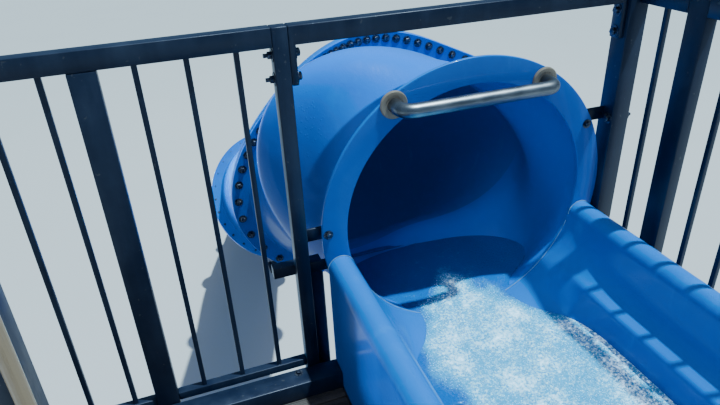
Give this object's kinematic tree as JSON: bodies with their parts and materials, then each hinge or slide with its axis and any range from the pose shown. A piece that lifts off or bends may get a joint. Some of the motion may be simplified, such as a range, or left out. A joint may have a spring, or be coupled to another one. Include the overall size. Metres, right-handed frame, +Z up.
{
  "type": "water slide tower",
  "caption": "Steel start platform with stair and guards, a start tub and an enclosed tube slide that falls to an open exit trough",
  "frame": {"origin": "under the middle of the whole, on the ground that the base plates rest on", "axes": "+Z up, +Y the way the slide leaves the platform, +X to the right of a rider who looks along the slide"},
  "size_m": [2.6298, 12.2437, 3.817],
  "materials": {
    "paint": "semi-gloss dark navy paint",
    "blue": "glossy azure gel coat",
    "stainless": "brushed",
    "deck": "matt dark brown boards",
    "pipe": "satin beige"
  },
  "bodies": {
    "root": {"column_rear_left": "paint", "column_front_left": "paint", "column_rear_right": "paint", "column_front_right": "paint", "beam_front": "paint", "beam_rear": "paint", "beam_left": "paint", "beam_right": "paint", "joist_middle": "paint", "brace_left": "paint", "brace_right": "paint", "deck_left": "deck", "deck_right": "deck", "kerb_front": "paint", "kerb_left": "paint", "post_a": "paint", "post_l": "paint", "post_b": "paint", "post_c": "paint", "post_front_left": "paint", "post_middle_left": "paint", "post_rear_left": "paint", "post_stair": "paint", "post_rear_right": "paint", "guard_front": "paint", "guard_right_front": "paint", "guard_right_rear": "paint", "guard_left_front": "paint", "guard_left_rear": "paint", "guard_rear": "paint", "header_rail": "paint", "corner_pipe": "pipe", "start_tub": "blue", "mouth_ring": "blue", "grab_bar": "stainless", "mouth_bracket_left": "paint", "mouth_bracket_right": "paint", "mouth_leg_left": "paint", "mouth_leg_right": "paint", "entry_elbow": "blue", "tube_section_1": "blue", "tube_section_2": "blue", "tube_section_3": "blue", "tube_section_4": "blue", "tube_section_5": "blue", "tube_section_6": "blue", "exit_trough": "blue", "slide_support_1": "paint", "slide_support_2": "paint", "slide_support_3": "paint", "slide_support_4": "paint", "stair_flight": "paint", "stair_guard_left": "paint", "stair_guard_right": "paint"}
  },
  "joints": []
}
